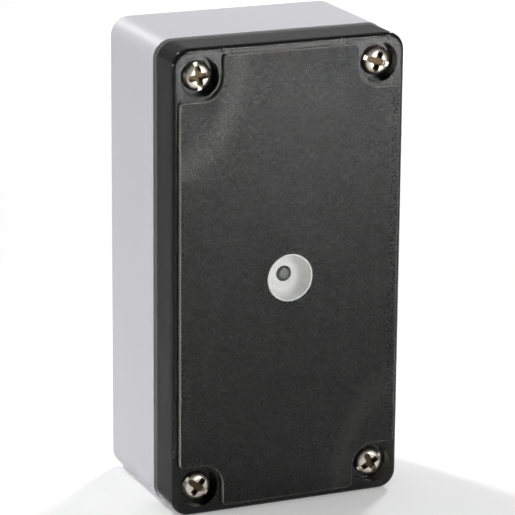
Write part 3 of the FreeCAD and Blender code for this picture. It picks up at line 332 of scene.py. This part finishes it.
def white_cup():
    """Smooth white diffusing plastic of the light cup."""
    tone = (0.88, 0.88, 0.87)
    finish = Finish("white_diffuser", tone, 0.42, Subsurface_Weight=0.2)
    finish.shader.inputs["Subsurface Radius"].default_value = (1.0, 1.0, 1.0)
    finish.shader.inputs["Subsurface Scale"].default_value = 0.8 * MM
    cloud = finish.noise(2.5 * MM, 3.0)
    fine = finish.noise(0.3 * MM)
    finish.set("Base Color", finish.tint(cloud, shade(tone, 0.97), shade(tone, 1.02)))
    finish.set("Roughness", finish.between(fine, 0.36, 0.5))
    finish.relief(fine, 0.01 * MM)
    return finish.material


def sensor_lens():
    """The light sensor: dark green resin with a painted highlight in its middle, darker towards its
    rim.
    """
    finish = Finish("sensor_resin", (0.1, 0.11, 0.1), 0.16, Coat_Weight=0.6, Coat_Roughness=0.05)
    upward = finish.math("SUBTRACT", finish.axis("Z"), MIDDLE_Z)
    distance = finish.distance(finish.axis("X"), upward)
    # Painted highlight: paler in the middle of the lens, fading to dark towards its rim.
    painted_highlight_falloff = finish.step(distance, 0.35 * LENS_RADIUS, 0.8 * LENS_RADIUS)
    cloud = finish.noise(0.7 * MM)
    edge = finish.math("ADD", painted_highlight_falloff, finish.between(cloud, -0.12, 0.12))
    finish.set("Base Color", finish.tint(edge, (0.19, 0.2, 0.18), (0.035, 0.045, 0.038)))
    finish.set("Roughness", finish.between(cloud, 0.12, 0.24))
    return finish.material


def rubber(name, tone):
    """Dull rubber, a little uneven in tone."""
    grey = (tone, tone, tone)
    finish = Finish(name, grey, 0.75)
    fine = finish.noise(0.35 * MM, 3.0)
    finish.set("Base Color", finish.tint(fine, shade(grey, 0.7), shade(grey, 1.3)))
    finish.set("Roughness", finish.between(fine, 0.65, 0.85))
    finish.relief(fine, 0.02 * MM)
    return finish.material


def laminate():
    """Green solder mask over copper tracks."""
    mask = (0.012, 0.10, 0.035)
    copper = (0.03, 0.19, 0.065)
    finish = Finish("board_laminate", mask, 0.32)
    mapping = finish.nodes.new("ShaderNodeMapping")
    mapping.inputs["Scale"].default_value = (1 / TRACK_PITCH,) * 3
    mapping.inputs["Rotation"].default_value = (math.radians(90), 0, 0)
    finish.links.new(finish.place, mapping.inputs["Vector"])
    tracks = finish.nodes.new("ShaderNodeTexBrick")
    tracks.inputs["Scale"].default_value = 1.0
    tracks.inputs["Mortar Size"].default_value = 0.12
    tracks.inputs["Brick Width"].default_value = 3.5
    tracks.inputs["Row Height"].default_value = 0.7
    finish.links.new(mapping.outputs["Vector"], tracks.inputs["Vector"])
    cloud = finish.noise(9 * MM)
    track = finish.product(tracks.outputs["Fac"], finish.between(cloud, 0.4, 1.0))
    finish.set("Base Color", finish.tint(track, mask, copper))
    finish.set("Roughness", finish.between(cloud, 0.26, 0.4))
    finish.relief(track, 0.03 * MM)
    return finish.material


def sleeved_can(name):
    """An electrolytic can: dark sleeve round it and a bare aluminium end."""
    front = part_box(name)[0].y
    finish = Finish("can_of_" + name, (0.03, 0.035, 0.05), 0.4)
    end = finish.step(finish.axis("Y"), front + 0.4 * MM, front + 0.2 * MM)
    fine = finish.noise(0.4 * MM)
    finish.set("Base Color", finish.tint(end, (0.02, 0.025, 0.04), (0.7, 0.7, 0.72)))
    finish.set("Metallic", end)
    finish.set("Roughness", finish.between(fine, 0.3, 0.45))
    return finish.material


def wound_choke():
    """A ferrite drum with its copper winding."""
    ferrite = (0.03, 0.03, 0.03)
    low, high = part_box("choke")
    finish = Finish("wound_ferrite", ferrite, 0.6)
    depth = finish.axis("Y")
    front = low.y + CHOKE_FLANGE
    back = high.y - CHOKE_FLANGE
    wire = finish.product(
        finish.step(depth, front, front + 0.1 * MM),
        finish.step(depth, back, back - 0.1 * MM),
    )
    turn = finish.math("SINE", finish.product(depth, 2 * math.pi / WIRE_PITCH))
    finish.set("Base Color", finish.tint(wire, ferrite, (0.45, 0.16, 0.05)))
    finish.set("Roughness", finish.between(wire, 0.65, 0.3))
    finish.relief(finish.product(turn, wire), 0.1 * MM)
    return finish.material


def dress(names, material):
    """Give CAD nodes this material alone."""
    for name in names:
        materials = nodes[name].data.materials
        materials.clear()
        materials.append(material)


def numbered(name, count):
    return [f"{name}_{number}" for number in range(1, count + 1)]


def dress_all():
    """One material for each node of the CAD model."""
    dress(["base_housing"], moulded("light_grey_plastic", (0.60, 0.595, 0.62), 0.5))
    dress(["lid"], smoked_lid())
    dress(numbered("lid_screw", 4), plated_steel())
    dress(["sensor_cup"], white_cup())
    dress(["photodiode"], sensor_lens())
    dress(["lid_gasket", "cup_seal"], rubber("seal_rubber", 0.02))
    dress(["cable_grommet"], rubber("grommet_rubber", 0.035))
    brass = machined("brass", (0.55, 0.38, 0.16), (0.8, 0.6, 0.3), 0.3)
    dress(numbered("thread_insert", 4), brass)
    black = moulded("black_plastic", (0.02, 0.02, 0.022), 0.5, 0.2)
    dress(["sensor_carrier", "board_header", "board_socket"], black)
    dress(["circuit_board", "sensor_board"], laminate())
    zinc = machined("zinc_plated", (0.5, 0.5, 0.5), (0.75, 0.74, 0.7), 0.3)
    dress(numbered("sensor_screw", 2) + numbered("board_screw", 4), zinc)
    dress(numbered("terminal_screw", 4), zinc)
    dress(["terminal_block"], moulded("green_plastic", (0.03, 0.28, 0.09), 0.4))
    dress(["controller_chip"], moulded("chip_resin", (0.02, 0.02, 0.02), 0.55, 0.25))
    for can in numbered("capacitor", 2):
        dress([can], sleeved_can(can))
    dress(["choke"], wound_choke())
    dress(["temperature_sensor"], moulded("bead_resin", (0.09, 0.05, 0.025), 0.25, 0.2))


def make_camera():
    """The photograph's camera: yaw about Z, pitch above the level, then a little roll."""
    back = Vector((
        math.sin(CAMERA_YAW) * math.cos(CAMERA_PITCH),
        -math.cos(CAMERA_YAW) * math.cos(CAMERA_PITCH),
        math.sin(CAMERA_PITCH),
    ))
    right = Vector((math.cos(CAMERA_YAW), math.sin(CAMERA_YAW), 0.0))
    up = back.cross(right)
    side = right * math.cos(CAMERA_ROLL) + up * math.sin(CAMERA_ROLL)
    top = up * math.cos(CAMERA_ROLL) - right * math.sin(CAMERA_ROLL)
    data = bpy.data.cameras.new("camera")
    data.sensor_width = SENSOR_WIDTH
    data.lens = FOCAL_PIXELS * SENSOR_WIDTH / PHOTO_SIDE
    camera = bpy.data.objects.new("camera", data)
    turn = Matrix((side, top, back)).transposed().to_4x4()
    camera.matrix_world = Matrix.Translation(TARGET + back * CAMERA_DISTANCE) @ turn
    bpy.context.scene.collection.objects.link(camera)
    bpy.context.scene.camera = camera


def make_floor():
    """A pale matt floor that keeps the shadow, and looks a little brighter than it lights."""
    half = FLOOR_SIDE / 2
    corners = [(-half, -half, 0), (half, -half, 0), (half, half, 0), (-half, half, 0)]
    mesh = bpy.data.meshes.new("floor")
    mesh.from_pydata(corners, [], [(0, 1, 2, 3)])
    floor = bpy.data.objects.new("floor", mesh)
    bpy.context.scene.collection.objects.link(floor)
    finish = Finish("pale_floor", (0.9, 0.9, 0.9), 0.9, Specular_IOR_Level=0.0)
    path = finish.nodes.new("ShaderNodeLightPath")
    seen = finish.math("MAXIMUM", path.outputs["Is Camera Ray"], path.outputs["Is Glossy Ray"])
    seen = finish.math("MAXIMUM", seen, path.outputs["Is Transmission Ray"])
    finish.shader.inputs["Emission Color"].default_value = (1, 1, 1, 1)
    finish.set("Emission Strength", finish.product(seen, FLOOR_GLOW))
    mesh.materials.append(finish.material)


def make_sky():
    """An even white sky."""
    world = bpy.data.worlds.new("sky")
    bpy.context.scene.world = world
    world.use_nodes = True
    sky = world.node_tree.nodes["Background"]
    sky.inputs["Color"].default_value = (1, 1, 1, 1)
    sky.inputs["Strength"].default_value = SKY


def make_lamp(name, place, aim, side, watts, spread):
    """A square soft lamp behind a grid."""
    data = bpy.data.lights.new(name, "AREA")
    data.size = side
    data.energy = watts
    data.spread = math.radians(spread)
    lamp = bpy.data.objects.new(name, data)
    lamp.location = place
    lamp.rotation_euler = (Vector(aim) - Vector(place)).to_track_quat("-Z", "Y").to_euler()
    bpy.context.scene.collection.objects.link(lamp)


dress_all()
make_camera()
make_floor()
make_sky()
for lamp in LAMPS:
    make_lamp(*lamp)
bpy.context.scene.view_settings.view_transform = "Standard"
